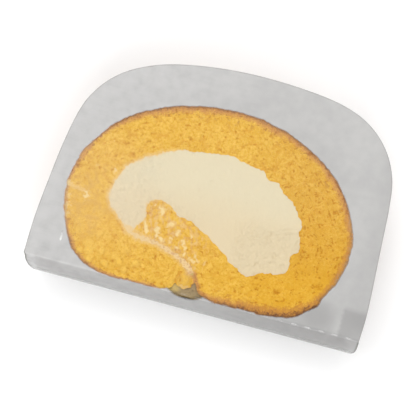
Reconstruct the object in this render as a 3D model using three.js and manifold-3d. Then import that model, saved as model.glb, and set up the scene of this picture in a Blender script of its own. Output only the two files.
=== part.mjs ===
// A slice of cream-filled sponge roll, lying on its back in the folded clear film that it is
// sold in. Three pieces: the rolled sponge strip, its cream filling, and the film wrap.
//
// Frame: millimetres, +Z up. X runs along the film's front crease and Y from that crease
// towards the panels' round tops. The film's rear panel lies on the table at Z = 0, the slice
// lies on it, and the front panel covers the slice's upper cut face. The outlines below are
// drawn with the crease on Y = 0; at the end the whole part is moved so that the origin is at
// the middle of its bounding box's underside.

import * as THREE from 'three';
import { mergeVertices } from 'three/addons/utils/BufferGeometryUtils.js';
import Module from 'manifold-3d';

const wasm = await Module();
wasm.setup();

// Driving dimensions.
const SLICE_THICKNESS = 27;
const FILM_GAUGE = 0.4;
const CLEARANCE = 0.3;
const CREASE_HALF_LENGTH = 54;
const STRIP_BULGE = 5.3;
const PANEL_REACH = 76;
const MERGE_DISTANCE = 1e-4;

// Heights of the stack, from the table up.
const SLICE_BOTTOM = FILM_GAUGE + CLEARANCE;
const SLICE_TOP = SLICE_BOTTOM + SLICE_THICKNESS;
const FRONT_PANEL_UNDERSIDE = SLICE_TOP + CLEARANCE;
const FRONT_PANEL_TOP = FRONT_PANEL_UNDERSIDE + FILM_GAUGE;
const HALF_HEIGHT = FRONT_PANEL_TOP / 2;

const point = ([x, y]) => new THREE.Vector2(x, y);

// A closed outline of smooth stretches: each stretch is a spline through its points, and two
// stretches meet at a corner.
function outline(start, ...stretches) {
  const shape = new THREE.Shape();
  shape.moveTo(...start);
  for (const stretch of stretches) shape.splineThru(stretch.map(point));
  shape.closePath();
  return shape;
}

// The outline moved out by a small distance, for the room that one piece leaves round another.
function grown(shape, distance, divisions) {
  const corners = shape.getPoints(divisions);
  if (corners[0].distanceTo(corners.at(-1)) < MERGE_DISTANCE) corners.pop();
  const outward = THREE.ShapeUtils.isClockWise(corners) ? -1 : 1;
  const moved = corners.map((corner, i) => {
    const before = corners.at(i - 1);
    const after = corners[(i + 1) % corners.length];
    const along = after.clone().sub(before).normalize();
    return new THREE.Vector2(
      corner.x + outward * distance * along.y,
      corner.y - outward * distance * along.x,
    );
  });
  return new THREE.Shape(moved);
}

function extruded(shape, bottom, top, divisions) {
  const settings = { depth: top - bottom, bevelEnabled: false, curveSegments: divisions };
  return new THREE.ExtrudeGeometry(shape, settings).translate(0, 0, bottom);
}

// Between a three.js geometry and a manifold solid, which only joins and cuts here.
function solidOf(geometry) {
  const bare = geometry.clone();
  bare.deleteAttribute('normal');
  bare.deleteAttribute('uv');
  const merged = mergeVertices(bare, MERGE_DISTANCE);
  return new wasm.Manifold(new wasm.Mesh({
    numProp: 3,
    vertProperties: new Float32Array(merged.attributes.position.array),
    triVerts: new Uint32Array(merged.index.array),
  }));
}

function geometryOf(solid) {
  const mesh = solid.getMesh();
  const geometry = new THREE.BufferGeometry();
  geometry.setAttribute('position', new THREE.BufferAttribute(mesh.vertProperties, 3));
  geometry.setIndex(new THREE.BufferAttribute(mesh.triVerts, 1));
  geometry.computeVertexNormals();
  return geometry;
}

// The cream: a thick crescent under the roll's top, and a thin tail that runs on between the
// flap and the lower left of the roll as far as the seam.
const creamOutline = outline(
  [-9, 44.3],
  [
    [-18.5, 42.4], [-28.2, 36.6], [-33.2, 27.2], [-30, 18.6], [-24, 14.6], [-15, 12.6],
    [-7.6, 9.7], [-2.6, 6.2],
  ],
  [[-1.6, 7.3]],
  [[-8.2, 11.8], [-15, 14], [-23.2, 15.2]],
  [[-20.9, 21.4], [-21, 25.6], [-18.3, 27]],
  [[-11.5, 24.2], [-3.4, 21.5], [6.5, 15.4], [12.4, 11.4]],
  [
    [16, 10.7], [20, 12.5], [26.6, 15.2], [28.7, 23.4], [25, 34], [16.4, 41.6], [5.6, 44.9],
    [-9, 44.3],
  ],
);
const CREAM_DIVISIONS = 4;

// The roll from outside, from the top round by the right. The two ends of the sponge meet in a
// seam notch in the underside, where the left end has a small rounded lump of crumb.
const rollOutline = outline(
  [-2.5, 60.2],
  [
    [12, 57.8], [26, 52.2], [37.2, 43.6], [44, 31.6], [43.5, 19.6], [37.4, 7.6],
    [32, 1.9], [24, 0.6], [15, 0.7], [6.8, 0.6],
  ],
  [[2.4, 2.4], [-1.6, 7.4]],
  [[-1.2, 3.6], [-4, 1.7], [-7, 1.4]],
  [
    [-12, 0.6], [-20, 0.6], [-30, 0.9], [-38.4, 4.2], [-44, 12.2], [-47.1, 24],
    [-43.4, 37.6], [-34.4, 48.6], [-20, 56.5], [-2.5, 60.2],
  ],
);
const ROLL_DIVISIONS = 4;

// Front panel of the film, from the left end of the crease: nearly straight sides, a round top.
// Below the crease it goes on as the strip's ends, whose left corner is the rounder one.
const STRIP_END = -STRIP_BULGE - 1;
const frontOutline = outline(
  [-CREASE_HALF_LENGTH, 0],
  [
    [-52.8, 23], [-49.8, 47], [-41.4, 60], [-27, 67.9], [-2, 72.1], [24, 70.8],
    [41, 65.4], [50.8, 53], [52.9, 36], [54.5, 7], [CREASE_HALF_LENGTH, 0],
  ],
  [[54.2, STRIP_END]],
  [[-49.6, STRIP_END]],
  [[-51.3, -5], [-53.4, -2.6], [-CREASE_HALF_LENGTH, 0]],
);

// Rear panel of the film, on the table: its right side leans in more and its top is lower.
const rearOutline = outline(
  [-CREASE_HALF_LENGTH, 0],
  [
    [-53.9, 22], [-51.4, 46], [-42, 58.2], [-24, 64.2], [0, 65.8], [22, 63.2],
    [38, 55.8], [45.2, 41], [48.5, 18], [51.4, 0],
  ],
  [[54.2, -5]],
  [[54.2, STRIP_END]],
  [[-49.6, STRIP_END]],
  [[-51.3, -5], [-53.4, -2.6], [-CREASE_HALF_LENGTH, 0]],
);
const PANEL_DIVISIONS = 5;

// The film's section across the crease: rear panel, strip bowed outwards, front panel.
function filmSection() {
  const outerRadius = (HALF_HEIGHT ** 2 + STRIP_BULGE ** 2) / (2 * STRIP_BULGE);
  const innerRadius = outerRadius - FILM_GAUGE;
  const centreY = outerRadius - STRIP_BULGE;
  const outerAngle = Math.asin(HALF_HEIGHT / outerRadius);
  const innerAngle = Math.asin((HALF_HEIGHT - FILM_GAUGE) / innerRadius);
  const section = new THREE.Shape();
  section.moveTo(PANEL_REACH, 0);
  section.lineTo(PANEL_REACH, FILM_GAUGE);
  section.absarc(centreY, HALF_HEIGHT, innerRadius, Math.PI + innerAngle, Math.PI - innerAngle, true);
  section.lineTo(PANEL_REACH, FRONT_PANEL_UNDERSIDE);
  section.lineTo(PANEL_REACH, FRONT_PANEL_TOP);
  section.absarc(centreY, HALF_HEIGHT, outerRadius, Math.PI - outerAngle, Math.PI + outerAngle, false);
  section.closePath();
  return section;
}
const STRIP_DIVISIONS = 14;
const SECTION_HALF_LENGTH = CREASE_HALF_LENGTH + 3;

function filmSolid() {
  const acrossToWorld = new THREE.Matrix4().makeBasis(
    new THREE.Vector3(0, 1, 0),
    new THREE.Vector3(0, 0, 1),
    new THREE.Vector3(1, 0, 0),
  );
  const folded = extruded(
    filmSection(), -SECTION_HALF_LENGTH, SECTION_HALF_LENGTH, STRIP_DIVISIONS,
  ).applyMatrix4(acrossToWorld);
  const upper = extruded(frontOutline, HALF_HEIGHT, FRONT_PANEL_TOP + 1, PANEL_DIVISIONS);
  const lower = extruded(rearOutline, -1, HALF_HEIGHT, PANEL_DIVISIONS);
  return solidOf(folded).intersect(solidOf(upper).add(solidOf(lower)));
}

function spongeSolid() {
  const roll = extruded(rollOutline, SLICE_BOTTOM, SLICE_TOP, ROLL_DIVISIONS);
  const room = extruded(grown(creamOutline, CLEARANCE, CREAM_DIVISIONS), 0, FRONT_PANEL_TOP, 1);
  return solidOf(roll).subtract(solidOf(room));
}

function piece(name, geometry, colour, roughness) {
  const material = new THREE.MeshStandardMaterial({ color: colour, roughness, metalness: 0 });
  const mesh = new THREE.Mesh(geometry, material);
  mesh.name = name;
  return mesh;
}

const sponge = piece('sponge', geometryOf(spongeSolid()), 0xe9bb5c, 0.95);
const cream = piece(
  'cream', extruded(creamOutline, SLICE_BOTTOM, SLICE_TOP, CREAM_DIVISIONS), 0xe9dcbd, 0.7,
);
const film = piece('film', geometryOf(filmSolid()), 0xcfcecb, 0.25);
film.material.transparent = true;
film.material.opacity = 0.3;

const slice = new THREE.Group();
slice.add(sponge, cream, film);

// The origin: the middle of the bounding box's underside.
const box = new THREE.Box3().setFromObject(slice);
const middle = box.getCenter(new THREE.Vector3());
slice.position.set(-middle.x, -middle.y, -box.min.z);

export default slice;
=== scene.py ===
import math
import random

import bpy
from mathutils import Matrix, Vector, kdtree, noise
from mathutils.geometry import delaunay_2d_cdt


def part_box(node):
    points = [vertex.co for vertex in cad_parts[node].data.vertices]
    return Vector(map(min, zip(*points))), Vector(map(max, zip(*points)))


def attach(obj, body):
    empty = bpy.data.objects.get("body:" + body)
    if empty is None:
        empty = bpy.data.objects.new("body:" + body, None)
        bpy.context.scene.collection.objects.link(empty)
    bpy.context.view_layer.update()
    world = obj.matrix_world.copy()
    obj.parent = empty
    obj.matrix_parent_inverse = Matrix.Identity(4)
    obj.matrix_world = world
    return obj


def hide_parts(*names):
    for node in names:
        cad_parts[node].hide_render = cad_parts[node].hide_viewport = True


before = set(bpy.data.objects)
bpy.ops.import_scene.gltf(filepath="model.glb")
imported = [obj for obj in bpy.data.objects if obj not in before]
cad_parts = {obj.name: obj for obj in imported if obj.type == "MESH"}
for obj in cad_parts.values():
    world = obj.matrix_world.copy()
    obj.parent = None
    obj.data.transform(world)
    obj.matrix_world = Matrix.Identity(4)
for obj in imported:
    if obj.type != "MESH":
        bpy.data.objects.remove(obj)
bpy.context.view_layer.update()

# Where the slice lies. Everything is drawn in millimetres with the film's front crease on
# Y = 0, and `laid` carries a drawn point to its place in metres. The film's strip bows out
# past the crease, so the crease is that far in from the low Y side of the film. Its middle
# lies a little to the left of the frame's.
MM = 0.001
STRIP_BOW = 5.3
CREASE_SHIFT = -0.21
film_low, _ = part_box("film")
sponge_low, sponge_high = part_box("sponge")
SLICE_TOP = sponge_high.z / MM
SLICE_BOTTOM = sponge_low.z / MM
crease_y = film_low.y + STRIP_BOW * MM


def laid(x, y, z):
    return Vector(((x + CREASE_SHIFT) * MM, y * MM + crease_y, z * MM))


# The camera looks straight down on the slice from 42 cm, turned 15 degrees so that the
# crease runs down to the right.
CAMERA_HEIGHT = 420
CAMERA_TURN = 15
VIEW_WIDTH = 130.4
SENSOR = 36
camera_data = bpy.data.cameras.new("camera")
camera_data.sensor_width = SENSOR
camera_data.lens = SENSOR * CAMERA_HEIGHT / VIEW_WIDTH
camera_data.clip_start = 0.01
camera = bpy.data.objects.new("camera", camera_data)
camera.location = laid(-2.2, 28.2, SLICE_TOP + CAMERA_HEIGHT)
camera.rotation_euler = (0, 0, math.radians(CAMERA_TURN))
bpy.context.scene.collection.objects.link(camera)
bpy.context.scene.camera = camera


# The sponge: one sheet about 14 mm thick, baked flat, spread with cream and rolled once, so
# that its inner end lies as a flap inside the roll and its outer end meets the roll at a seam
# underneath. The knife leaves an open, pitted crumb; the baked skin is thin and brown.
OUTSIDE = [
    [
        (-2.5, 6.3), (-1.4, 6.1), (-0.6, 5.1), (-0.5, 4.2), (-1, 3.5), (-1.1, 2.8),
        (-2.1, 2.4), (-3.1, 1.8), (-4.2, 2.3), (-5.1, 2.2), (-5.8, 3.1), (-6.5, 2.7), (-7, 1.7),
        (-8.5, 0.6), (-12, -0.2), (-20, -0.3), (-30, -0.1), (-38.8, 3.6), (-44.3, 12.1),
        (-47.1, 24), (-46, 30.6), (-45.1, 35), (-43.5, 37.9), (-34.6, 48.8), (-20, 56.5),
        (-2.5, 59.7), (12.1, 58.3), (26.4, 52.9), (37.3, 43.7), (44, 31.6), (44, 19.5),
        (39.5, 9.2), (39.1, 7.6), (38.2, 6.7), (36.6, 5.2), (32, 1.8), (24, 0.2), (15, 0),
        (6.8, -0.1),
    ],
    [(6.8, -0.1), (4.6, 0.5), (2.1, 1.6), (0.8, 3), (0, 5.1), (-1.3, 7.3)],
]
FLAP_AND_FILLING = [
    [(-1.3, 7.3), (-3.3, 9.7), (-6, 11.1), (-9.3, 12.2), (-12, 13.1), (-17, 14.2), (-23.4, 14.8)],
    [(-23.4, 14.8), (-22.2, 17), (-20.7, 19.6), (-20.2, 21.5), (-20.9, 23.5), (-20.3, 25.6)],
    [
        (-20.3, 25.6), (-18.2, 26.5), (-15.6, 26.4), (-12.6, 24.9), (-10.3, 23.3), (-8, 23),
        (-5.4, 22.2), (-2.8, 20.8), (1.9, 18.4), (7.5, 14.8), (12.9, 11), (15.9, 10.9),
        (19.1, 12.7), (23.4, 13.5), (27, 15.5),
        (26.5, 19.9), (28.7, 22), (28.6, 25), (27.4, 28.2), (27.9, 30.5), (25.2, 34),
        (22.9, 36.7), (19.4, 39), (17, 41), (13.5, 41.7), (11.5, 43.6), (5.2, 44.8),
        (0.4, 45.7), (-9, 44.3), (-15.4, 43.5), (-22.9, 40), (-28.8, 35.8), (-31.7, 31.4),
        (-33, 27), (-32.7, 22.4), (-30, 19.2), (-26.7, 16.5), (-24.2, 14.2), (-20.4, 13.1),
        (-16.5, 13), (-12.3, 11.9), (-9.5, 11), (-6.4, 9.8), (-4.3, 8.4), (-2.5, 6.3),
    ],
]
TAIL = [[(-25, 15), (-20.4, 13.9), (-15, 13.3), (-10, 11.8), (-6, 10.3), (-2.2, 6.9)]]
KNIFE_SMEAR = [[(-47, 24.6), (-45, 24), (-42.9, 23.8), (-41.3, 23.6)]]
LUMP_SIDE = [[(-6.1, 3.2), (-5.9, 4.8), (-5.2, 6.6)]]
LOOP_STEP = 0.42
WALL_ROWS = 24
FACE_STEP = 0.25
REAR_STEP = 0.55
TORN_LEFT = -36

# Each cut face has its own layer of pores, and counts as cut this far down its edge.
FRONT_LAYER = 0
REAR_LAYER = 30
FRONT_CUT = 2.2
REAR_CUT = 2

# Blender's vector noise starts from the clock unless it is given a seed of its own.
CRUMB_SEED = 3
noise.seed_set(CRUMB_SEED)


def smooth(points):
    """A Catmull-Rom curve through the points, as close steps."""
    steps = 24
    knots = [Vector(p) for p in points]
    knots = [2 * knots[0] - knots[1], *knots, 2 * knots[-1] - knots[-2]]
    curve = []
    for before, start, end, after in zip(knots, knots[1:], knots[2:], knots[3:]):
        for i in range(steps):
            t = i / steps
            pull, push = (end - before) / 2, (after - start) / 2
            curve.append(
                (2 * start - 2 * end + pull + push) * t ** 3
                + (3 * end - 3 * start - 2 * pull - push) * t ** 2
                + pull * t + start
            )
    curve.append(knots[-2])
    return curve


def evenly(stretches, step):
    """Smooth stretches joined end to end and walked in even steps. The last point is left out."""
    walked = []
    for stretch in stretches:
        curve = smooth(stretch)
        lengths = [0]
        for a, b in zip(curve, curve[1:]):
            lengths.append(lengths[-1] + (b - a).length)
        count = max(2, round(lengths[-1] / step))
        at = 0
        for i in range(count):
            target = lengths[-1] * i / count
            while lengths[at + 1] < target:
                at += 1
            share = (target - lengths[at]) / (lengths[at + 1] - lengths[at])
            walked.append(curve[at].lerp(curve[at + 1], share))
    return walked


def roughened(line, size, depth, seed, left_of=math.inf):
    """The line pushed in and out by noise of the given size, its ends left where they are."""
    end_fade = 8
    pushed = []
    for i, p in enumerate(line):
        along = (line[min(i + 1, len(line) - 1)] - line[max(i - 1, 0)]).normalized()
        to_end = min(i, len(line) - 1 - i)
        fade = max(0, min(1, to_end / end_fade, left_of - p.x))
        push = depth * fade * noise.noise(Vector((p.x / size, p.y / size, seed)))
        pushed.append(p + push * Vector((along.y, -along.x)))
    return pushed


outside = roughened(evenly(OUTSIDE, LOOP_STEP), size=5, depth=0.3, seed=3)
outside = roughened(outside, size=1.1, depth=0.18, seed=5)
outside = roughened(outside, size=1.2, depth=0.26, seed=8, left_of=TORN_LEFT)
inside = roughened(evenly(FLAP_AND_FILLING, LOOP_STEP), size=2.6, depth=0.6, seed=11)
inside = roughened(inside, size=0.8, depth=0.45, seed=17)


def nearest_to(line):
    tree = kdtree.KDTree(len(line))
    for i, p in enumerate(line):
        tree.insert((p.x, p.y, 0), i)
    tree.balance()
    return tree


def off(line, x, y):
    """How far a point lies from a line that `nearest_to` knows."""
    return line.find((x, y, 0))[2]


def filled(loop, step, seed):
    """The area inside a loop as triangles: the loop's own points, then a scatter inside it."""
    rng = random.Random(seed)
    edge = nearest_to(loop)
    points = list(loop)
    y = min(p.y for p in loop)
    top = max(p.y for p in loop)
    sides = list(zip(loop, loop[1:] + loop[:1]))
    row = 0
    while y < top:
        crossings = sorted(
            a.x + (b.x - a.x) * (y - a.y) / (b.y - a.y)
            for a, b in sides if (a.y <= y) != (b.y <= y)
        )
        for left, right in zip(crossings[::2], crossings[1::2]):
            column = math.ceil(left / step - row % 2 / 2)
            while (column + row % 2 / 2) * step < right:
                p = Vector((
                    (column + row % 2 / 2 + rng.uniform(-0.16, 0.16)) * step,
                    y + rng.uniform(-0.16, 0.16) * step,
                ))
                if off(edge, p.x, p.y) > 0.6 * step:
                    points.append(p)
                column += 1
        y += step * math.sqrt(0.75)
        row += 1
    border = [(i, (i + 1) % len(loop)) for i in range(len(loop))]
    _, _, triangles, origins, _, _ = delaunay_2d_cdt(points, border, [], 1, 1e-7)
    order = [origin[0] for origin in origins]
    return points, [[order[i] for i in triangle] for triangle in triangles]


def made(name, vertices, faces, sharp_angle):
    """A mesh piece with its faces turned outwards and its sharper edges kept crisp."""
    mesh = bpy.data.meshes.new(name)
    mesh.from_pydata([laid(*v) for v in vertices], [], faces)
    mesh.validate()
    piece = bpy.data.objects.new(name, mesh)
    bpy.context.scene.collection.objects.link(piece)
    bpy.context.view_layer.objects.active = piece
    bpy.ops.object.mode_set(mode="EDIT")
    bpy.ops.mesh.select_all(action="SELECT")
    bpy.ops.mesh.normals_make_consistent(inside=False)
    bpy.ops.object.mode_set(mode="OBJECT")
    mesh.shade_smooth()
    mesh.set_sharp_from_angle(angle=math.radians(sharp_angle))
    return piece


def slab(name, loop, top_of, bottom_of, wall_of, rows, face_step, rear_step, seed):
    """A closed solid between two cut faces. The three functions give a point's real place."""
    count = len(loop)
    vertices, faces = [], []
    for row in range(rows + 1):
        fall = row / rows
        for i, p in enumerate(loop):
            along = (loop[(i + 1) % count] - loop[i - 1]).normalized()
            vertices.append(wall_of(i, p, Vector((along.y, -along.x)), fall))
    for row in range(rows):
        for i in range(count):
            j = (i + 1) % count
            a, b = row * count, (row + 1) * count
            faces.append((a + i, b + i, b + j, a + j))
    for first, step, height in ((0, face_step, top_of), (rows * count, rear_step, bottom_of)):
        points, triangles = filled(loop, step, seed)
        start = len(vertices) - count
        vertices.extend(height(p) for p in points[count:])
        for triangle in triangles:
            corner = [first + i if i < count else start + i for i in triangle]
            faces.append(corner if first == 0 else corner[::-1])
    return made(name, vertices, faces, sharp_angle=65), vertices


def clamp(value, low=0, high=1):
    return max(low, min(high, value))


def ease(value):
    value = clamp(value)
    return value * value * (3 - 2 * value)


skin_edge = nearest_to(outside)
flap_skin = nearest_to(inside[: len(evenly(FLAP_AND_FILLING[:1], LOOP_STEP))])
filling_edge = nearest_to(inside[len(evenly(FLAP_AND_FILLING[:2], LOOP_STEP)):])
tail_line = nearest_to(evenly(TAIL, LOOP_STEP))
knife_line = nearest_to(evenly(KNIFE_SMEAR, 0.2))
lump_side = nearest_to(evenly(LUMP_SIDE, 0.2))


def on_sheet(x, y):
    """How far along the rolled sheet a point lies, and how deep under its skin."""
    place, i, depth = skin_edge.find((x, y, 0))
    run = (outside[(i + 1) % len(outside)] - outside[i - 1]).normalized()
    return i * LOOP_STEP + run.dot(Vector((x, y)) - place.xy), depth


def pressed(x, y):
    """Where the film is pressed on so hard that the crumb is matted: the left of the roll."""
    edge = noise.noise(Vector((x / 5, y / 5, 8)))
    return ease(1.5 - math.hypot((x + 40) / 8, (y - 20) / 10) + 0.7 * edge)


def richness(x, y):
    """How deep the crumb's yellow is: deepest at the lower right."""
    return ease((x + 6) / 36) * ease((48 - y) / 36)


def duller_right(x, y):
    """Where the crumb is a duller yellow: the right."""
    return ease((x - 4) / 24) * ease((y - 10) / 14)


def torn_open(x, y):
    """Where the knife tore the crumb open and left it coarse: the lower left."""
    return ease(1.7 - math.hypot((x + 36) / 9, (y - 9) / 8))


def pits(x, y, z):
    """How open the crumb is: small pores drawn out along the sheet, and a few large bubbles."""
    along, depth = on_sheet(x, y)
    warp = noise.noise_vector(Vector((x, y, z)) / 2.2)
    pore = noise.noise(Vector((along / 0.8, depth / 0.65, z)) + 0.3 * warp)
    pore += 0.15 * noise.noise(Vector((x, y, z)) / 0.45)
    pore += 0.5 * noise.noise(Vector((x, y, z + 7)) / 1.7)
    distances, centres = noise.voronoi(Vector((x, y, z)) / 3.6 + 0.14 * warp)
    size = 0.05 + 0.2 * abs(noise.cell(centres[0] * 37)) ** 2
    bubble = ease(1.6 - distances[0] / size)
    open_crumb = (1.2 + 0.3 * richness(x, y) + 0.8 * duller_right(x, y)) * (pore - 0.15)
    return (clamp(open_crumb) + 0.6 * bubble) * (1 - 0.5 * torn_open(x, y))


# Coarse lumps of crumb, at the lower left and in the seam: where each lies and its radius.
LUMPS = [
    (-35.4, 7.9, 2), (-34.8, 6.2, 2), (-34.1, 3.6, 1.7), (-37.7, 5.4, 1.5),
    (-40.1, 14, 2.1), (-39.4, 11.3, 2.2), (-26.4, 5.9, 1.8), (-25, 5, 1.6), (-29.2, 3.2, 1.6),
    (-19.8, 5.6, 1.8), (-31.2, 6.6, 1.6), (-40.4, 8, 1.4), (-36.6, 14.2, 1.8),
    (-22.8, 2.8, 1.4), (-33.2, 11.6, 1.7), (-23.4, 8.8, 1.5), (-3.4, 4.6, 2.2),
]


def coarse(x, y):
    """The coarse lumps, up to 1 on top of one, and below 0 in the groove around it."""
    if y > 24 or x > 3:
        return 0
    at_seam = ease(1.5 - off(lump_side, x, y) / 0.5)
    soft = 1 - 0.5 * pressed(x, y)
    stray = noise.noise_vector(Vector((x, y, 4)) / 1.6)
    x += 0.7 * stray.x
    y += 0.7 * stray.y
    rise = max(1 - math.hypot(x - lump[0], y - lump[1]) / lump[2] for lump in LUMPS)
    groove = ease(1 - abs(rise + 0.1) / 0.22) * (0.4 + stray.x)
    return soft * (ease(rise * 1.8) - 0.4 * groove) - 0.6 * at_seam


def lumps(x, y):
    """The slow rise and fall of the cut crumb."""
    return 0.14 * noise.noise(Vector((x / 3.4, y / 3.4, 2))) + 0.4 * coarse(x, y)


def pore_depth(x, y, layer):
    """How deep the pores are, shallower where the film has pressed on the crumb."""
    return pits(x, y, layer) * (1 - 0.4 * pressed(x, y))


def rounded_rim(x, y):
    """1 at the slice's edge, and 0 from a little way in."""
    return ease(1 - off(skin_edge, x, y) / 0.6)


def crumb_top(p):
    x, y = p
    depth = pore_depth(x, y, FRONT_LAYER)
    return (x, y, SLICE_TOP - 0.2 - 0.35 * depth - 0.2 * rounded_rim(x, y) + lumps(x, y))


def crumb_rear(p):
    x, y = p
    depth = pits(x, y, REAR_LAYER)
    return (x, y, SLICE_BOTTOM + 0.1 + 0.35 * depth + 0.2 * rounded_rim(x, y))


def sponge_wall(i, p, out, fall):
    z = SLICE_TOP + (SLICE_BOTTOM - SLICE_TOP) * fall
    if i >= len(outside):
        height = {0: SLICE_TOP - 0.2, 1: SLICE_BOTTOM + 0.15}.get(fall, z)
        return (p.x, p.y, height)
    place = Vector((p.x, p.y, z))
    push = 0.2 * noise.noise(place / 4) + 0.12 * noise.noise(place / 1.5)
    push += 0.35 * math.sin(math.pi * fall) - 0.2
    lift = 0.3 * (0.5 - fall) * 2 * ease(abs(fall - 0.5) * 40 - 19)
    return (p.x + push * out.x, p.y + push * out.y, z - lift)


sponge, sponge_points = slab(
    "sponge_roll", outside + inside, crumb_top, crumb_rear, sponge_wall,
    rows=WALL_ROWS, face_step=FACE_STEP, rear_step=REAR_STEP, seed=1,
)


def paint(piece, name, values):
    """Keeps one number for each point of a piece, for its finish to read."""
    piece.data.attributes.new(name, "FLOAT", "POINT").data.foreach_set("value", values)


def brown_reach(x, y):
    """How deep the oven's brown goes in from the skin: more on the right, and uneven."""
    patchy = noise.noise(Vector((x / 5, y / 5, 1))) + 0.6 * noise.noise(Vector((x, y, 4)) / 1.8)
    bottom_right = ease(x / 10) * ease((12 - y) / 11)
    lower_left = ease((-34 - x) / 6) * ease((16 - y) / 8)
    top = ease((y - 40) / 14)
    right = ease((x - 10) / 20)
    shoulder = ease(1.7 - math.hypot(x + 43.6, y - 36) / 2.2)
    side = max(1.5 * top, 1.3 * right, 0.6 * lower_left, 0.8 * shoulder)
    return 0.8 + 0.8 * ease(0.5 + patchy) + side + 2.3 * bottom_right


def pale_skin(x, y):
    """Where the skin shows only pale: at the far left and the far right."""
    return ease((abs(x + 1.5) - 33) / 10) * ease((y - 4) / 10) * ease((44 - y) / 10)


# Dabs of cream: where each lies, how long and wide it is, which way it runs, how thick it is.
DABS = [
    (-40.1, 22.2, 2.6, 1.6, 105, 0.85), (-45.6, 20.4, 2.8, 2, 100, 0.5),
    (-45.2, 17.8, 2.8, 2, 80, 0.5), (-44.6, 15.2, 2.4, 1.6, 90, 0.45),
    (-46.4, 24.2, 2.8, 1.8, 70, 0.55), (-33.4, 32, 1.8, 1.2, 100, 0.75),
    (-3.5, 9.9, 1.1, 0.7, 120, 0.6), (-1.6, 9, 1.3, 0.6, 110, 0.5),
    (-3.9, 11.4, 1, 0.5, 70, 0.6), (-0.6, 11, 1.1, 0.5, 100, 0.5),
    (-39.2, 32.2, 1, 0.9, 0, 0.4), (-36, 41, 0.9, 0.7, 0, 0.4),
    (-15.8, 23.3, 2.9, 1.5, 110, 1), (-12.3, 20.3, 2.7, 1.3, 40, 0.8),
    (-19.2, 17.3, 2.9, 1.5, 108, 1), (-15.8, 17.4, 3.7, 1.3, 107, 1),
    (-9.2, 18.3, 2.2, 1.1, 50, 0.9), (-10.8, 15.9, 2.6, 1.2, 80, 0.8),
    (-13.9, 14.9, 1.7, 1.2, 146, 1), (-6.7, 15.9, 1.8, 1.1, 105, 0.9),
    (-5, 18, 1.5, 0.7, 100, 0.8), (-8.3, 13.6, 1.6, 0.9, 150, 0.9),
    (-6, 14.2, 1.4, 0.9, 150, 0.8), (-5.7, 12.2, 1.9, 1, 67, 0.9),
    (-1.9, 12.3, 2.5, 0.9, 126, 0.7), (-2.6, 10.6, 2.1, 1, 153, 0.8),
    (1.4, 11.3, 2.5, 0.8, 71, 0.5), (-4.7, 8.6, 1.5, 1.1, 150, 0.8),
    (-18.5, 24.7, 1.2, 0.8, 60, 0.6), (-20.1, 24.4, 1.1, 0.7, 90, 0.6),
    (-17.6, 20.6, 1, 0.6, 110, 0.5), (-8.3, 21.2, 1.3, 0.6, 60, 0.4),
    (-3.3, 16.2, 1.4, 0.6, 50, 0.5), (1.2, 15.1, 1.2, 0.6, 80, 0.4),
]


def dabbed(x, y, spread=1):
    """How thick the dabs of cream are at a point, ragged at their edges."""
    ragged = 0.8 * noise.noise(Vector((x, y, 5)) / 0.8)
    stray = noise.noise_vector(Vector((x, y, 11)) / 1.1)
    x += 0.55 * stray.x
    y += 0.55 * stray.y
    thickest = 0
    for dab_x, dab_y, length, width, turn, thickness in DABS:
        dx, dy = x - dab_x, y - dab_y
        if abs(dx) + abs(dy) < 5:
            run = math.radians(turn)
            along = (dx * math.cos(run) + dy * math.sin(run)) / (length * spread / 2)
            aside = (dy * math.cos(run) - dx * math.sin(run)) / (width * spread / 2)
            share = ease(1.5 - math.hypot(along, aside) + ragged)
            thickest = max(thickest, thickness * share)
    return thickest


def cream_film(x, y):
    """Where a thin film of cream was wiped over the crumb: round the tail, and at the left."""
    tail = 0.7 * ease(1.3 - off(tail_line, x, y) / 1.8)
    knife = 0.6 * ease(1.4 - off(knife_line, x, y) / 0.9)
    soft = ease((-6 - x) / 16)
    bleed = 0.7 * soft * ease(1 - off(filling_edge, x, y) / 1.6)
    flap = 0.5 * ease((-12 - x) / 6) * ease(1 - off(flap_skin, x, y) / 1.2)
    lump_rim = ease(1.6 - abs(x + 3.2) / 1.6) * ease((4 - y) / 1.5)
    lump_rim *= 0.7 * ease(1.7 - off(skin_edge, x, y) / 0.7)
    around_dabs = 0.45 * dabbed(x, y, 1.8)
    return clamp(max(tail, knife, bleed, flap, lump_rim, around_dabs))


def speckled(x, y):
    """Where the flap's own brown skin was rubbed into the crumb: along the tail's upper side."""
    reach = 1.1 + 0.9 * ease((x + 9) / 4)
    above_tail = ease(1.5 - off(tail_line, x, y - 0.9) / reach)
    on_lump = 0.4 * ease(1.6 - math.hypot(x + 3, y - 5) / 2)
    at_tip = 0.7 * ease(1.6 - math.hypot(x + 19.4, y - 23.4) / 2.6)
    return max(above_tail * ease((x + 21) / 5), on_lump, at_tip)


def on_flap(x, y):
    """The flap, above the tail of cream."""
    body = ease(1.7 - math.hypot((x + 13) / 11, (y - 18) / 7))
    return body * ease((y - tail_line.find((x, y, 0))[0].y) / 0.8)


def cut_face(z):
    return z > SLICE_TOP - FRONT_CUT or z < SLICE_BOTTOM + REAR_CUT


def layer_at(z):
    return FRONT_LAYER if z > SLICE_TOP / 2 else REAR_LAYER


def bare_end(x, y):
    """The sheet's cut outer end, at the seam, which has no skin."""
    return ease(1.7 - math.hypot((x + 6.5) / 4.5, (y - 3) / 3.5))


def damp_lump(x, y):
    """The lump of damp crumb at the seam."""
    return ease(1.7 - math.hypot(x + 3.6, y - 4.2) / 2)


def skin_under(x, y, z):
    """Depth under the baked skin, 1 where the brown ends."""
    if cut_face(z):
        return off(skin_edge, x, y) / brown_reach(x, y) + 1.6 * bare_end(x, y)
    return 0.16 + 0.3 * noise.noise(Vector((x, y, z)) / 7)


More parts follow.
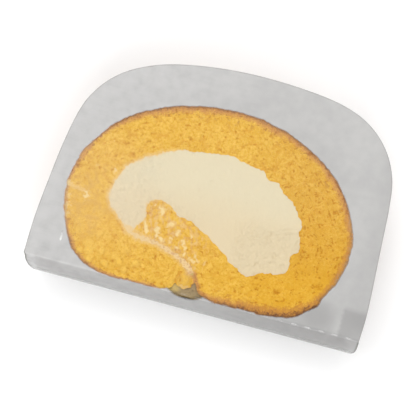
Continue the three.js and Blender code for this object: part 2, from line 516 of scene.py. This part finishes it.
paint(sponge, "skin_depth", [skin_under(x, y, z) for x, y, z in sponge_points])
paint(sponge, "pore", [
    clamp(pore_depth(x, y, layer_at(z))) if cut_face(z) else 0 for x, y, z in sponge_points
])
for name, amount in {"matted": pressed, "rich": richness, "duller_right": duller_right}.items():
    paint(sponge, name, [amount(x, y) for x, y, z in sponge_points])
for name, amount in {
    "coarse": coarse,
    "pale_skin": pale_skin,
    "damp": damp_lump,
    "cream_film": cream_film,
    "dabbed": dabbed,
    "on_flap": on_flap,
    "speckled": speckled,
}.items():
    paint(sponge, name, [amount(x, y) if cut_face(z) else 0 for x, y, z in sponge_points])


class Wire:
    """A socket of a material. Python's operators on it add the Math nodes."""

    def __init__(self, finish, socket):
        self.finish = finish
        self.socket = socket

    def math(self, operation, first, second):
        return self.finish.node("ShaderNodeMath", {"operation": operation}, {0: first, 1: second})

    def __add__(self, other):
        return self.math("ADD", self, other)

    def __sub__(self, other):
        return self.math("SUBTRACT", self, other)

    def __rsub__(self, other):
        return self.math("SUBTRACT", other, self)

    def __mul__(self, other):
        return self.math("MULTIPLY", self, other)

    def __truediv__(self, other):
        return self.math("DIVIDE", self, other)

    __radd__ = __add__
    __rmul__ = __mul__

    def between(self, low, high):
        """0 below `low`, 1 above `high`, and eased in between."""
        return self.finish.node(
            "ShaderNodeMapRange",
            {"interpolation_type": "SMOOTHSTEP"},
            {"Value": self, "From Min": low, "From Max": high},
        )


class Finish:
    """A material being made, with one Principled shader."""

    def __init__(self, name):
        self.material = bpy.data.materials.new(name)
        self.material.use_nodes = True
        self.nodes = self.material.node_tree.nodes
        self.links = self.material.node_tree.links
        self.nodes.clear()

    def node(self, kind, settings, sockets, out=0):
        """Any node: its settings are set first, then its sockets are set or linked."""
        node = self.nodes.new(kind)
        for name, value in settings.items():
            setattr(node, name, value)
        for name, value in sockets.items():
            if isinstance(value, Wire):
                self.links.new(value.socket, node.inputs[name])
            else:
                node.inputs[name].default_value = value
        return Wire(self, node.outputs[out]) if len(node.outputs) else None

    def kept(self, name):
        """A number that `paint` kept on the piece."""
        return self.node("ShaderNodeAttribute", {"attribute_name": name}, {}, "Fac")

    def grain(self, size, detail, stretch=(1, 1, 1), turn=0.0):
        """Noise with lumps of about `size` millimetres, drawn out and turned about Z."""
        place = self.node("ShaderNodeTexCoord", {}, {}, "Object")
        drawn = self.node("ShaderNodeMapping", {"vector_type": "TEXTURE"}, {
            "Vector": place,
            "Rotation": (0, 0, math.radians(turn)),
            "Scale": tuple(size * MM * share for share in stretch),
        })
        sockets = {"Vector": drawn, "Scale": 1.0, "Detail": detail}
        return self.node("ShaderNodeTexNoise", {}, sockets)

    def mixed(self, share, first, second):
        """The first colour, turning into the second as `share` goes from 0 to 1."""
        factor, colour_a, colour_b, colour_out = 0, 6, 7, 2
        sockets = {factor: share, colour_a: first, colour_b: second}
        return self.node("ShaderNodeMix", {"data_type": "RGBA"}, sockets, colour_out)

    def bumped(self, height, distance, strength):
        sockets = {"Height": height, "Distance": distance * MM, "Strength": strength}
        return self.node("ShaderNodeBump", {}, sockets)

    def worn_by(self, piece, sockets):
        """Puts the finish on a piece, with these sockets of its shader set or linked."""
        shader = self.node("ShaderNodeBsdfPrincipled", {}, sockets)
        self.node("ShaderNodeOutputMaterial", {}, {"Surface": shader})
        piece.data.materials.clear()
        piece.data.materials.append(self.material)


def tone(red, green, blue):
    """A colour given as 0 to 255 on screen, as the renderer's linear numbers."""
    def linear(part):
        part /= 255
        return part / 12.92 if part <= 0.04045 else ((part + 0.055) / 1.055) ** 2.4
    return (linear(red), linear(green), linear(blue), 1.0)


YOLK_CRUMB = tone(210, 162, 44)
PALE_CRUMB = tone(229, 190, 84)
ORANGE_CRUMB = tone(204, 148, 40)
RICH_CRUMB = tone(210, 156, 16)
PORE_SHADE = tone(185, 125, 6)
VALLEY_SHADE = tone(190, 132, 30)
DULL_CRUMB = tone(192, 138, 46)
MATTED_CRUMB = tone(210, 167, 74)
TAN_CRUMB = tone(196, 142, 76)
RICH_TAN = tone(188, 132, 56)
BAKED_SKIN = tone(158, 112, 68)
SCORCHED_SKIN = tone(119, 77, 48)
PALE_SKIN = tone(193, 157, 112)
DARK_SKIN = tone(124, 92, 66)
THINLY_SMEARED = tone(217, 180, 118)
DAMP_YOLK = tone(200, 160, 74)
WIPED_CREAM = tone(220, 188, 126)
DAB_CREAM = tone(229, 208, 152)
RUBBED_SKIN = tone(180, 122, 70)
SCORCHED_CRUMB = tone(156, 96, 34)

sponge_finish = Finish("sponge")
fine = sponge_finish.grain(0.32, 2.0)
small = sponge_finish.grain(0.75, 2.0)
middling = sponge_finish.grain(1.7, 2.0)
broad = sponge_finish.grain(6.0, 2.0)
flap_tone = sponge_finish.grain(0.95, 3.0, (1.0, 2.0, 3.0), 16)
skin_depth = sponge_finish.kept("skin_depth")
rich = sponge_finish.kept("rich")
speckle = (fine * 0.35 + small * 0.65).between(0.3, 0.7)
crumb = sponge_finish.mixed(speckle, YOLK_CRUMB, PALE_CRUMB)
crumb = sponge_finish.mixed(middling.between(0.46, 0.72) * 0.6, crumb, ORANGE_CRUMB)
crumb = sponge_finish.mixed(broad.between(0.4, 0.66) * (0.4 + rich * 0.2), crumb, YOLK_CRUMB)
crumb = sponge_finish.mixed(rich * 0.45, crumb, RICH_CRUMB)
# The crumb turns duller and darker towards the right.
crumb = sponge_finish.mixed(sponge_finish.kept("duller_right") * 0.22, crumb, DULL_CRUMB)
matted = sponge_finish.kept("matted") * (0.2 + 0.6 * middling.between(0.4, 0.62))
crumb = sponge_finish.mixed(matted, crumb, MATTED_CRUMB)
# The pores are painted darker: the crumb's own deeper ochre, and painted shade in their hollows.
pore = sponge_finish.kept("pore") + (0.42 - small) * 1.2
crumb = sponge_finish.mixed(pore.between(0.0, 0.9) * 0.8, crumb, PORE_SHADE)
# Painted light on the coarse lumps: a painted highlight on their tops, and painted shade in the
# grooves around them.
lump_light_and_shade = sponge_finish.kept("coarse") * (small + 0.5)
crumb = sponge_finish.mixed(lump_light_and_shade.between(0.2, 1.0) * 0.55, crumb, PALE_CRUMB)
crumb = sponge_finish.mixed((0 - lump_light_and_shade).between(0.0, 0.5) * 0.5, crumb, VALLEY_SHADE)
damp = sponge_finish.kept("damp") + (small - 0.5)
crumb = sponge_finish.mixed(damp.between(0.2, 1.2) * 0.3, crumb, DAMP_YOLK)
smeared = sponge_finish.kept("on_flap") * flap_tone.between(0.47, 0.6)
crumb = sponge_finish.mixed(smeared * 0.65, crumb, THINLY_SMEARED)
flecks = sponge_finish.kept("on_flap") * (small + middling).between(1.06, 1.2)
crumb = sponge_finish.mixed(flecks * 0.5, crumb, TAN_CRUMB)
rubbed = sponge_finish.kept("speckled") * (small * 0.5 + fine * 0.5).between(0.48, 0.6)
baked = sponge_finish.mixed(rich, BAKED_SKIN, SCORCHED_SKIN)
baked = sponge_finish.mixed(sponge_finish.kept("pale_skin") * 0.7, baked, PALE_SKIN)
tan = sponge_finish.mixed(rich, TAN_CRUMB, RICH_TAN)
baked = sponge_finish.mixed(middling.between(0.45, 0.7) * 0.4, baked, tan)
brown = skin_depth + (small - 0.5) * 0.9 + (fine - 0.5) * 0.7
crumb = sponge_finish.mixed(1 - brown.between(0.3, 1.05), crumb, tan)
crumb = sponge_finish.mixed(1 - brown.between(0.0, 0.42), crumb, baked)
scorched = (1 - skin_depth.between(0.6, 2.0)) * (small + middling).between(1.1, 1.22)
crumb = sponge_finish.mixed(scorched * (1 - rich) * 0.7, crumb, SCORCHED_CRUMB)
rim = (0.12 - skin_depth + (fine - 0.5) * 0.3).between(0.0, 0.12)
rim = rim * (1 - sponge_finish.kept("pale_skin") * 0.7)
crumb = sponge_finish.mixed(rim * (0.2 + 0.4 * small), crumb, DARK_SKIN)
wiped = sponge_finish.kept("cream_film") + (small - 0.5) * 0.8
crumb = sponge_finish.mixed(wiped.between(0.05, 1.0) * 0.85, crumb, WIPED_CREAM)
crumb = sponge_finish.mixed(rubbed * 0.6, crumb, RUBBED_SKIN)
dabs = sponge_finish.kept("dabbed") + (small - 0.5) * 0.5
crumb = sponge_finish.mixed(dabs.between(0.1, 1.0) * 0.85, crumb, DAB_CREAM)
sponge_finish.worn_by(sponge, {
    "Base Color": crumb,
    "Roughness": 0.85,
    "Specular IOR Level": 0.3,
    "Normal": sponge_finish.bumped(fine * 0.2 + small * 0.8 + middling, 0.3, 0.5),
})
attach(sponge, "root")
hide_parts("sponge")


# The crumb in the seam: where the outer end of the sheet meets the roll underneath, a damp
# lump of squeezed crumb and cream has filled the groove behind the film. Its dark olive colour
# is painted shade, the deep groove seen through the film, turning yellower towards the lump.
SEAM_LOOP = [
    [
        (-2.2, 7.6), (-4, 6), (-5, 3.6), (-8, 2), (-9.2, 0.6), (-6.6, -0.5), (-3, -0.7),
        (1, -0.7), (4.4, -0.3), (6, 0.6), (4, 2.2), (1.8, 4), (-0.2, 6.8), (-1, 7.8), (-2.2, 7.6),
    ],
]


def seam_top(p):
    grain = 0.15 * noise.noise(Vector((p.x, p.y, 3)) / 1.4)
    slope = 0.5 * ease((p.y - 4.5) / 1.5) - 0.5 * ease((2 - p.y) / 3)
    return (p.x, p.y, SLICE_TOP - 0.9 + slope + grain)


def seam_rear(p):
    return (p.x, p.y, SLICE_BOTTOM + 1.5)


def seam_wall(i, p, out, fall):
    top = seam_top(p)[2] - 0.3
    z = top + (SLICE_BOTTOM + 1.8 - top) * fall
    push = 0.4 * noise.noise(Vector((p.x, p.y, z)) / 3) - 0.3 * abs(1 - 2 * fall) ** 6
    return (p.x + push * out.x, p.y + push * out.y, z)


seam_loop = evenly(SEAM_LOOP, 0.5)
seam, seam_points = slab(
    "seam_crumb", seam_loop[::-1], seam_top, seam_rear, seam_wall,
    rows=16, face_step=0.3, rear_step=0.6, seed=4,
)
paint(seam, "yolky", [
    max(ease((-1.5 - x) / 5.5) * ease((y + 1) / 2), 1.3 * ease((y - 4.5) / 1.5))
    for x, y, z in seam_points
])
DAMP_CRUMB_IN_SHADE = tone(152, 130, 88)
SHADED_CRUMB = tone(132, 112, 74)
WET_YOLK = tone(190, 164, 92)
seam_finish = Finish("damp_crumb_in_shade")
damp = seam_finish.grain(0.9, 2.0)
flecks = seam_finish.grain(0.35, 2.0)
# Painted shade: the groove's dark olive, yellower where the lump's damp crumb shows.
seam_shade_and_yolk = seam_finish.mixed(damp.between(0.35, 0.7), DAMP_CRUMB_IN_SHADE, SHADED_CRUMB)
seam_shade_and_yolk = seam_finish.mixed(
    (seam_finish.kept("yolky") + (damp - 0.5) * 0.5).between(0.2, 0.9), seam_shade_and_yolk, WET_YOLK
)
seam_finish.worn_by(seam, {
    "Base Color": seam_shade_and_yolk,
    "Roughness": 0.45,
    "Normal": seam_finish.bumped(damp + flecks * 0.5, 0.4, 0.7),
})
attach(seam, "root")


# The cream: whipped, a little stiffer than the sponge, cut with it and wiped smooth by the
# knife. A thick crescent over the flap, and a thin tail that runs under the flap to the seam.
WRINKLE = [[(9.5, 21.2), (13, 23.6), (16.3, 24.3), (21.1, 26.4), (27.6, 28.6)]]
wrinkle = nearest_to(evenly(WRINKLE, 0.2))
flap_top = nearest_to(evenly([FLAP_AND_FILLING[2][:7]], LOOP_STEP))


def wrinkled(x, y):
    """Where the cream is rough: its left lobe, along the flap, and its lower right end."""
    along_flap = 0.8 * ease(1.2 - off(flap_top, x, y) / 4)
    lower_right = ease((x - 5) / 6) * ease((31 - y) / 6)
    return max(0.7 * ease((-15 - x) / 8), along_flap, 0.9 * lower_right, 0.15)


def cream_top(p):
    x, y = p
    ripple = 0.12 * noise.noise(Vector((x / 5, y / 6, 1)))
    rough = noise.noise(Vector((x, y, 9)) / 1.3) + 0.5 * noise.noise(Vector((x, y, 2)) / 0.7)
    fold = 0.3 * ease(1.3 - off(wrinkle, x, y) / 0.8)
    distances, centres = noise.voronoi(Vector((x, y, 50)) / 5)
    dent = 0.25 * ease(1.3 - distances[0] / (0.03 + 0.1 * abs(noise.cell(centres[0] * 29))))
    return (x, y, SLICE_TOP - 0.15 + ripple + 0.3 * wrinkled(x, y) * rough + fold - dent)


def cream_rear(p):
    x, y = p
    return (x, y, SLICE_BOTTOM + 0.14 + 0.1 * noise.noise(Vector((x / 3, y / 4, 20))))


def cream_wall(i, p, out, fall):
    z = SLICE_TOP + (SLICE_BOTTOM - SLICE_TOP) * fall
    if fall == 0:
        return cream_top(p)
    if fall == 1:
        return cream_rear(p)
    return (p.x, p.y, z)


cream, cream_points = slab(
    "cream_filling", inside, cream_top, cream_rear, cream_wall,
    rows=4, face_step=0.32, rear_step=0.8, seed=2,
)
edge_of_cream = nearest_to(inside)
paint(cream, "thin", [
    max(
        ease(1.5 - off(tail_line, x, y) / 1.6),
        0.6 * ease((-6 - x) / 16) * ease(1 - off(edge_of_cream, x, y) / 0.9),
    )
    for x, y, z in cream_points
])
paint(cream, "warm", [
    max(0.9 * ease((40 - y) / 20), 0.4 * ease((-20 - x) / 8)) for x, y, z in cream_points
])
paint(cream, "rough", [wrinkled(x, y) for x, y, z in cream_points])
paint(cream, "speckled", [
    speckled(x, y + 0.4) * ease((17 - y) / 2) for x, y, z in cream_points
])
CREAM_COOL = tone(214, 203, 174)
CREAM_WARM = tone(214, 198, 165)
CREAM_THIN = tone(220, 192, 140)
CREAM_BROWN = tone(190, 140, 92)
cream_finish = Finish("cream")
drift = cream_finish.grain(12.0, 1.0)
dimple = cream_finish.grain(1.3, 3.0, (1.0, 1.6, 1.0))
thin = cream_finish.kept("thin") + (dimple - 0.5) * 1.2
warm = cream_finish.kept("warm") + (drift - 0.5) * 0.5
whipped = cream_finish.mixed(warm.between(0.0, 1.0), CREAM_COOL, CREAM_WARM)
whipped = cream_finish.mixed(thin.between(0.1, 0.8), whipped, CREAM_THIN)
rubbed_in = cream_finish.kept("speckled") * cream_finish.grain(0.7, 2.0).between(0.5, 0.62)
cream_finish.worn_by(cream, {
    "Base Color": cream_finish.mixed(rubbed_in * 0.6, whipped, CREAM_BROWN),
    "Roughness": 0.6,
    "Specular IOR Level": 0.3,
    "Normal": cream_finish.bumped(dimple * (cream_finish.kept("rough") + 0.3), 0.8, 0.9),
})
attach(cream, "root")
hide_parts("cream")


# The film: one thin plastic sheet, creased twice, with a strip between the creases that bows
# out under the slice. Its front panel covers the cut face and its rear panel lies on the
# table. It is milky where it stands free, and clear where it clings to the moist cake.
CREASE_LEFT = -54.4
FRONT_CREASE_RIGHT = 54.3
REAR_CREASE_RIGHT = 51.4
FRONT_PANEL = [
    [
        (CREASE_LEFT, 0), (-54, 11.5), (-52.9, 23), (-51.3, 36), (-49.2, 46.8), (-46.6, 53.4),
        (-41.6, 59.9), (-34.5, 64.9), (-24, 68.9), (-8.3, 71.6), (8, 72.3), (24.4, 71.2),
        (35, 68.7), (42.4, 64.6), (47.9, 58.7), (51.3, 51.4), (52.6, 43), (53.3, 32),
        (54.3, 14), (54.5, 6.8), (FRONT_CREASE_RIGHT, 0),
    ],
]
REAR_PANEL = [
    [
        (CREASE_LEFT, 0), (-54, 22), (-51.4, 46), (-42, 58.2), (-24, 64.2), (0, 65.8), (22, 63.2),
        (32, 59.6), (38, 55.6), (43.4, 48), (45.6, 39), (48.5, 18), (REAR_CREASE_RIGHT, 0),
    ],
]
FILM_GAUGE = 0.12
FILM_SHARP = 30
PANEL_STEP = 0.95
CREASE_COLUMNS = 114
STRIP_ROWS = 24
FAR_OFF = 20
FRONT_HEIGHT = SLICE_TOP + 0.3
REAR_HEIGHT = FILM_GAUGE / 2
half_rise = (FRONT_HEIGHT - REAR_HEIGHT) / 2


def strip_left(bowed):
    """The strip's left end: `bowed` is 0 at a crease and 1 where the strip is furthest out."""
    return CREASE_LEFT + 0.5 * ease(8 * bowed) + 2.9 * bowed ** 2.2


def strip_right(bowed, z):
    crease_end = FRONT_CREASE_RIGHT if z > half_rise else REAR_CREASE_RIGHT + 2.9 * bowed
    return crease_end + 0.5 * bowed - 1.6 * bowed ** 10


def strip_point(across, down):
    """A point of the strip: `across` from its left end to its right, `down` from the front."""
    angle = math.pi / 2 * (1 - 2 * down)
    bowed = abs(math.cos(angle)) ** 1.3
    y = -STRIP_BOW * bowed
    z = (FRONT_HEIGHT + REAR_HEIGHT) / 2 + half_rise * math.sin(angle)
    left = strip_left(bowed)
    return (left + (strip_right(bowed, z) - left) * across, y, z)


def panel_lift(x, y):
    """The front panel springs up a little away from the slice, in soft waves."""
    beyond = math.hypot((x + 1.5) / 46, (y - 29) / 31)
    wave = noise.noise(Vector((x / 22, y / 22, 3)))
    return ease((beyond - 0.95) * 2.2) * (0.3 + 0.8 * wave) * ease(y / 8)


film_vertices, film_faces = [], []
crease_row = [i / CREASE_COLUMNS for i in range(CREASE_COLUMNS + 1)]
for row in range(STRIP_ROWS + 1):
    film_vertices.extend(strip_point(across, row / STRIP_ROWS) for across in crease_row)
width = CREASE_COLUMNS + 1
for row in range(STRIP_ROWS):
    for i in range(CREASE_COLUMNS):
        a, b = row * width + i, (row + 1) * width + i
        film_faces.append((a, b, b + 1, a + 1))
for panel, first, height in (
    (FRONT_PANEL, 0, lambda x, y: FRONT_HEIGHT + panel_lift(x, y)),
    (REAR_PANEL, STRIP_ROWS * width, lambda x, y: REAR_HEIGHT),
):
    crease = [Vector(v[:2]) for v in film_vertices[first : first + width]]
    around = evenly(panel, PANEL_STEP)[1:]
    loop = crease[::-1] + around
    points, triangles = filled(loop, PANEL_STEP, 5)
    start = len(film_vertices) - width
    film_vertices.extend((p.x, p.y, height(p.x, p.y)) for p in points[width:])
    for triangle in triangles:
        film_faces.append([
            first + width - 1 - i if i < width else start + i for i in triangle
        ])
film = made("film_wrap", film_vertices, film_faces, FILM_SHARP)


def inside_slice(x, y):
    """Whether a point lies over the slice: how often a line from it crosses the outline."""
    crossings = 0
    for a, b in zip(outside, outside[1:] + outside[:1]):
        if (a.y <= y) != (b.y <= y) and x < a.x + (b.x - a.x) * (y - a.y) / (b.y - a.y):
            crossings += 1
    return crossings % 2 == 1


def off_slice(x, y):
    """How far the film is from where it clings to the cake: below 0 where it does."""
    away = off(skin_edge, x, y)
    seam_patch = math.hypot((x + 2.2) / 7, (y - 3.2) / 4.4) * 4 - 4
    return min(-away if inside_slice(x, y) else away, seam_patch)


def on_rear(z):
    return z < REAR_HEIGHT + 0.01


def on_strip(y):
    return y < -0.01


def shaded(x, y):
    """Painted shade on the film, where it looks duller: the strip, most at the right, and the
    panel's lower right.
    """
    lower_right = 0.4 * ease((x - 20) / 16) * ease((14 - y) / 10) * ease((47 - x) / 3)
    beside_cake = 0.28 * ease(1.6 - math.hypot((x - 39.4) / 4, (y - 5) / 4))
    corner = 0.66 * ease((x - 46.8) / 0.9) * ease((10 - y) / 2.2)
    at_edge = 0.28 * ease((x - 43) / 11) * ease(y / 6)
    outward = ease(-y / STRIP_BOW / 0.8)
    strip = ease(-4 * y) * (0.5 * ease((x + 10) / 60) + 0.2 * outward)
    crease = 0.45 * ease(1 - abs(y) / 0.9) * ease((x + 10) / 20)
    return clamp(max(lower_right + beside_cake, corner, strip) + at_edge + crease)


def clouded(x, y):
    """How milky the film is where it clings to the cake: most in the middle left."""
    middle_left = ease(1.3 - math.hypot((x + 46) / 40, (y - 26) / 28))
    return max(middle_left, 0.4 * ease((y - 0.6 * x + 10) / 40))


front_outline = nearest_to(evenly(FRONT_PANEL, 0.3))
rear_outline = nearest_to(evenly(REAR_PANEL, 0.3))


def off_panel_edge(x, y, z):
    """How far a point of the front panel or the strip is from the film's long edge."""
    if on_strip(y):
        bowed = -y / STRIP_BOW
        return min(x - strip_left(bowed), strip_right(bowed, z) - x) * 0.55
    return off(front_outline, x, y) if z > FRONT_HEIGHT - 1 else FAR_OFF


REAR_SHARE = 0.75
STRIP_SHARE = 0.8
paint(film, "off_slice", [
    FAR_OFF if z < FRONT_HEIGHT - 5 and not on_rear(z) else off_slice(x, y)
    for x, y, z in film_vertices
])
paint(film, "haze", [
    REAR_SHARE if on_rear(z) else STRIP_SHARE if on_strip(y) else 1
    for x, y, z in film_vertices
])
paint(film, "off_crease", [
    abs(y) if z > FRONT_HEIGHT - 2 else FAR_OFF for x, y, z in film_vertices
])
paint(film, "off_front_edge", [off_panel_edge(x, y, z) for x, y, z in film_vertices])
paint(film, "off_rear_edge", [
    off(rear_outline, x, y) * (1 + ease((y - 8) / 10)) if on_rear(z) else FAR_OFF
    for x, y, z in film_vertices
])
paint(film, "leftward", [ease((20 - x) / 60) for x, y, z in film_vertices])
paint(film, "strip", [0 if on_rear(z) else ease(1 - y / 0.6) for x, y, z in film_vertices])
paint(film, "outward", [ease(-2 * y / STRIP_BOW - 1) for x, y, z in film_vertices])
paint(film, "clouded", [clouded(x, y) for x, y, z in film_vertices])
paint(film, "shaded", [
    0 if on_rear(z) else shaded(x, y) for x, y, z in film_vertices
])
film.modifiers.new("gauge", "SOLIDIFY").thickness = FILM_GAUGE * MM
film.modifiers["gauge"].offset = 0
bpy.ops.object.modifier_apply(modifier="gauge")
film.data.set_sharp_from_angle(angle=math.radians(FILM_SHARP))

HAZE_GREY = tone(193, 192, 190)
HAZE_DIM = tone(181, 180, 179)
HAZE_LIT_LEFT = tone(197, 196, 195)
HAZE_SHADE = tone(156, 155, 154)
HAZE_WHITE = tone(240, 240, 240)
EDGE_GREY = tone(134, 133, 131)
END_SHADE_GREY = tone(104, 106, 98)
FREE_HAZE = 0.8
CLINGING_HAZE = 0.03
film_finish = Finish("film")
mottle = film_finish.grain(3.2, 4.0)
cloud = film_finish.grain(11.0, 2.0)
streaks = film_finish.grain(0.7, 3.0, (14.0, 1.0, 1.0))
free = film_finish.kept("off_slice").between(-0.3, 0.4)
leftward = film_finish.kept("leftward")
clouded_share = film_finish.kept("clouded")
crease = (1 - film_finish.kept("off_crease").between(0.0, 0.6)) * leftward.between(0.7, 1)
# The rear panel's edge is painted whiter and denser: a painted highlight along its cut edge.
rear_edge_highlight = 1 - film_finish.kept("off_rear_edge").between(0.9, 2.4)
front_edge = 1 - film_finish.kept("off_front_edge").between(0.1, 0.4)
clinging = CLINGING_HAZE * clouded_share
haze = (clinging + free * (FREE_HAZE - clinging)) * film_finish.kept("haze")
haze = haze + rear_edge_highlight * 0.6 + front_edge * 0.1
gleam = film_finish.node("ShaderNodeFresnel", {}, {"IOR": 1.4}) * (0.5 + 0.5 * free)
gleam = gleam * (1 - film_finish.kept("strip") * 0.92)
cover = haze + gleam * (1 - haze)
mirror = gleam * (1 - haze) / cover
haze_colour = film_finish.mixed(
    (mottle * 0.5 + cloud * 0.45 + streaks * 0.05).between(0.25, 0.75), HAZE_DIM, HAZE_GREY
)
# The film is lighter towards the left, in mottled streaks: partly the film's own streaks, partly
# painted light from the left.
haze_colour = film_finish.mixed(
    leftward * (streaks * 0.25 + mottle * 0.75).between(0.2, 0.75), haze_colour, HAZE_LIT_LEFT
)
# Painted shade on the strip and on the panel's lower right.
haze_colour = film_finish.mixed(film_finish.kept("shaded"), haze_colour, HAZE_SHADE)
# Painted shade on the strip's outer bow.
haze_colour = film_finish.mixed(film_finish.kept("outward") * 0.25, haze_colour, END_SHADE_GREY)
milk = crease * 0.1 + (1 - free) * clouded_share + rear_edge_highlight
haze_colour = film_finish.mixed(milk.between(0, 1), haze_colour, HAZE_WHITE)
haze_colour = film_finish.mixed(front_edge * 0.7, haze_colour, EDGE_GREY)
# A painted shade line along the strip's cut ends.
strip_end = front_edge * film_finish.kept("strip")
haze_colour = film_finish.mixed(strip_end * 0.7, haze_colour, END_SHADE_GREY)
film_finish.worn_by(film, {
    "Base Color": film_finish.mixed(mirror, haze_colour, tone(255, 255, 255)),
    "Metallic": mirror,
    "Roughness": 0.2,
    "IOR": 1.4,
    "Alpha": cover,
    "Normal": film_finish.bumped(cloud, 0.2, 0.1),
})
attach(film, "root")
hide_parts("film")


# The crease cuts: the front crease is perforated so that it folds straight, a row of short
# slits whose raised edges catch the light, their whiteness a painted highlight. One small
# white sliver stands off by itself at the left: a painted glint where the film bends over the
# cake's edge.
CUT_PITCH = 4.45
LAST_CUT = 50.9
CUT_COUNT = 19
CUT_LENGTH = 2.1
CUT_WIDTH = 0.5
CUT_RISE = 0.06
PAINTED_GLINT = (-44.3, 8.1, 3.6, 0.6)
cut_vertices, cut_faces, cut_highlight = [], [], []
slits = [
    (LAST_CUT - CUT_PITCH * n, 0.1, CUT_LENGTH, CUT_WIDTH, 1 if n < 5 else 0.4 - 0.02 * n)
    for n in range(CUT_COUNT)
]
for middle_x, middle_y, length, breadth, highlight in [*slits, (*PAINTED_GLINT, 3)]:
    upright = middle_y > 1
    base = len(cut_vertices)
    for rise in (0, 1):
        for u, v in [(-1, 0), (-0.7, 1), (0.7, 1), (1, 0), (0.7, -1), (-0.7, -1)]:
            along = u * length / 2 * (1 - 0.2 * rise)
            aside = v * breadth / 2 * (1 - 0.5 * rise)
            x, y = (-aside, along) if upright else (along, aside)
            z = FRONT_HEIGHT + FILM_GAUGE / 2 + rise * CUT_RISE
            z += panel_lift(middle_x + x, middle_y + y)
            cut_vertices.append((middle_x + x, middle_y + y, z))
            cut_highlight.append(highlight * (clamp(0.8 - u) if upright else 1))
    cut_faces.append([base + i for i in range(5, -1, -1)])
    cut_faces.append([base + 6 + i for i in range(6)])
    for i in range(6):
        j = (i + 1) % 6
        cut_faces.append((base + i, base + j, base + 6 + j, base + 6 + i))
cuts = made("crease_cuts", cut_vertices, cut_faces, sharp_angle=60)
paint(cuts, "highlight", cut_highlight)
cuts_finish = Finish("crease_cuts")
whitened = cuts_finish.grain(1.0, 2.0)
cuts_finish.worn_by(cuts, {
    "Base Color": cuts_finish.mixed(whitened, tone(214, 214, 212), tone(238, 238, 236)),
    "Roughness": 0.4,
    "Alpha": cuts_finish.kept("highlight") * 0.3,
})
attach(cuts, "root")


# The table: a plain white surface that the rear panel lies on.
TABLE_HALF = 2.5
TABLE_TOP = -0.00003
TABLE_WHITE = (0.95, 0.95, 0.95, 1.0)
table_mesh = bpy.data.meshes.new("table")
corners = [(-1, -1), (1, -1), (1, 1), (-1, 1)]
table_mesh.from_pydata(
    [(x * TABLE_HALF, y * TABLE_HALF, TABLE_TOP) for x, y in corners], [], [(0, 1, 2, 3)]
)
table = bpy.data.objects.new("table", table_mesh)
bpy.context.scene.collection.objects.link(table)
table_finish = Finish("table")
table_finish.worn_by(table, {
    "Base Color": TABLE_WHITE,
    "Roughness": 0.7,
    "Specular IOR Level": 0.2,
})


# The light: soft panels on four sides of a pale room, strongest beyond the film's round top.
# The ceiling right above is dim, so that it leaves no glare on the flat film.
def soft_panel(name, size, place, power):
    light = bpy.data.lights.new(name, "AREA")
    light.shape = "SQUARE"
    light.size = size
    light.energy = power
    panel = bpy.data.objects.new(name, light)
    panel.location = place
    panel.rotation_euler = (-Vector(place)).to_track_quat("-Z", "Y").to_euler()
    bpy.context.scene.collection.objects.link(panel)


soft_panel("window", 0.7, (-0.2, 0.7, 1.05), 6.4)
soft_panel("left_wall", 0.8, (-0.95, 0.1, 1.3), 5.4)
soft_panel("right_wall", 0.8, (0.95, -0.1, 1.3), 4.6)
soft_panel("near_wall", 0.8, (0.1, -0.95, 1.2), 7.2)
WALLS_END = 0.88
CEILING_STARTS = 0.97
ROOM_WALLS = (0.62, 0.62, 0.62, 1.0)
ROOM_CEILING = (0.12, 0.12, 0.12, 1.0)
world = bpy.data.worlds.new("room")
world.use_nodes = True
room = world.node_tree
way = room.nodes.new("ShaderNodeTexCoord")
parts = room.nodes.new("ShaderNodeSeparateXYZ")
shade = room.nodes.new("ShaderNodeValToRGB")
shade.color_ramp.elements[0].position = WALLS_END
shade.color_ramp.elements[0].color = ROOM_WALLS
shade.color_ramp.elements[1].position = CEILING_STARTS
shade.color_ramp.elements[1].color = ROOM_CEILING
room.links.new(way.outputs["Generated"], parts.inputs[0])
room.links.new(parts.outputs["Z"], shade.inputs["Fac"])
room.links.new(shade.outputs["Color"], room.nodes["Background"].inputs["Color"])
bpy.context.scene.world = world
bpy.context.scene.view_settings.view_transform = "Standard"
